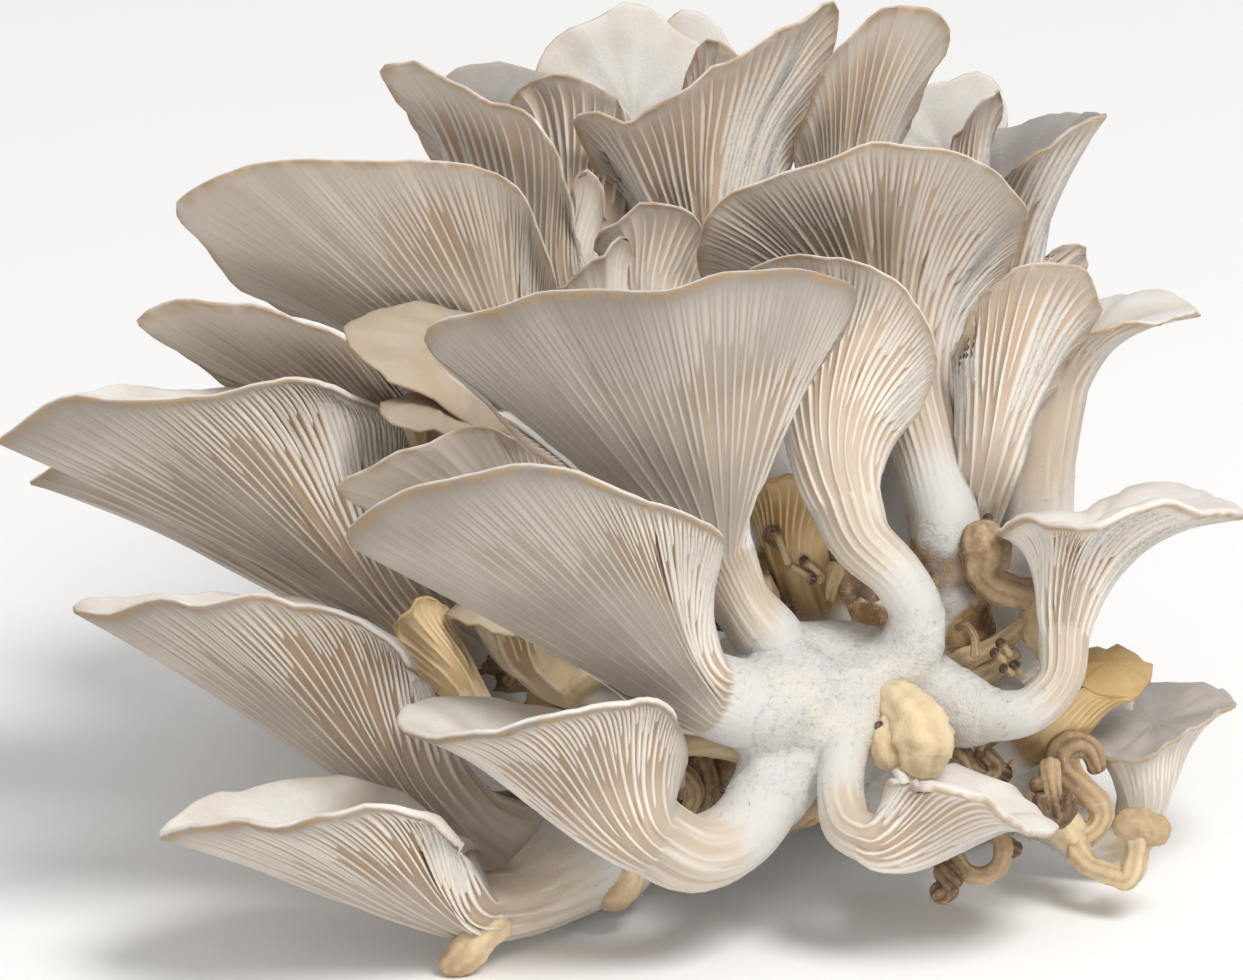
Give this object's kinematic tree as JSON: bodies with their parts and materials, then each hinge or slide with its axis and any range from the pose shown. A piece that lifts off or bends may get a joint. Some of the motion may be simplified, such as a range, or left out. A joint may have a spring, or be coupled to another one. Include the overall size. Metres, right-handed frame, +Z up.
{
  "type": "oyster mushroom cluster",
  "caption": "Cluster of pale oyster mushrooms with gilled fan and funnel caps, growing from one woolly white base with dried brown pins.",
  "frame": {"origin": "middle of the bounding box, on the surface that the cluster rests on", "axes": "+Z up from the surface; -Y towards the side with the fewest caps in front, where the woolly base shows; +X to the right seen from there"},
  "size_m": [0.2451, 0.226, 0.1698],
  "materials": {
    "cream_flesh": "soft matt mushroom flesh, cream white gills and margins with warm tan valleys",
    "beige_flesh": "smooth matt mushroom skin, warm beige to ochre yellow",
    "grey_flesh": "smooth satin mushroom skin, pale grey on top, cream below",
    "mycelium": "soft woolly white mycelium",
    "dried_flesh": "dull wrinkled dried flesh, ochre to brown"
  },
  "bodies": {
    "root": {"mycelium_base": "mycelium", "centre_fan": "cream_flesh", "front_left_fan": "cream_flesh", "low_mid_fan": "cream_flesh", "bottom_left_fan": "cream_flesh", "left_low_fan": "cream_flesh", "left_fan": "cream_flesh", "right_low_cap": "cream_flesh", "centre_right_funnel": "cream_flesh", "right_large_fan": "cream_flesh", "upper_left_large_fan": "cream_flesh", "upper_centre_fan": "cream_flesh", "upper_right_leaf": "cream_flesh", "upper_mid_left_fan": "cream_flesh", "right_fan": "cream_flesh", "bottom_right_cap": "cream_flesh", "right_bottom_cap": "grey_flesh", "mid_left_small_fan": "cream_flesh", "small_beige_cap": "beige_flesh", "beige_cap": "beige_flesh", "upper_left_small_fan": "cream_flesh", "left_back_fan": "cream_flesh", "small_leaning_fan": "cream_flesh", "small_orange_fan": "beige_flesh", "narrow_leaf": "cream_flesh", "upper_small_fan": "cream_flesh", "upper_back_sliver": "cream_flesh", "right_upper_fan": "grey_flesh", "right_back_cap": "cream_flesh", "far_right_cap": "cream_flesh", "top_right_leaf": "cream_flesh", "grey_back_cap": "grey_flesh", "top_back_cap": "cream_flesh", "top_back_sliver": "cream_flesh", "top_right_back_cap": "cream_flesh", "inner_yellow_fan": "beige_flesh", "small_round_cap": "beige_flesh", "small_yellow_fan": "beige_flesh", "right_ochre_fan": "cream_flesh", "back_low_left_fan": "cream_flesh", "back_low_mid_fan": "cream_flesh", "back_low_right_fan": "cream_flesh", "back_left_fan": "cream_flesh", "back_mid_fan": "cream_flesh", "back_right_fan": "cream_flesh", "dark_pin": "dried_flesh", "hook_pin": "dried_flesh", "stub_pin": "dried_flesh", "pale_knob_pair": "dried_flesh", "orange_pin": "dried_flesh", "dried_cluster": "dried_flesh", "folded_cap": "dried_flesh", "dried_curl": "dried_flesh", "ring_curl": "dried_flesh", "curly_stem": "dried_flesh", "ochre_cap": "dried_flesh", "dangling_pins": "dried_flesh", "tan_lump": "dried_flesh", "dried_small_cap": "dried_flesh"}
  },
  "joints": []
}
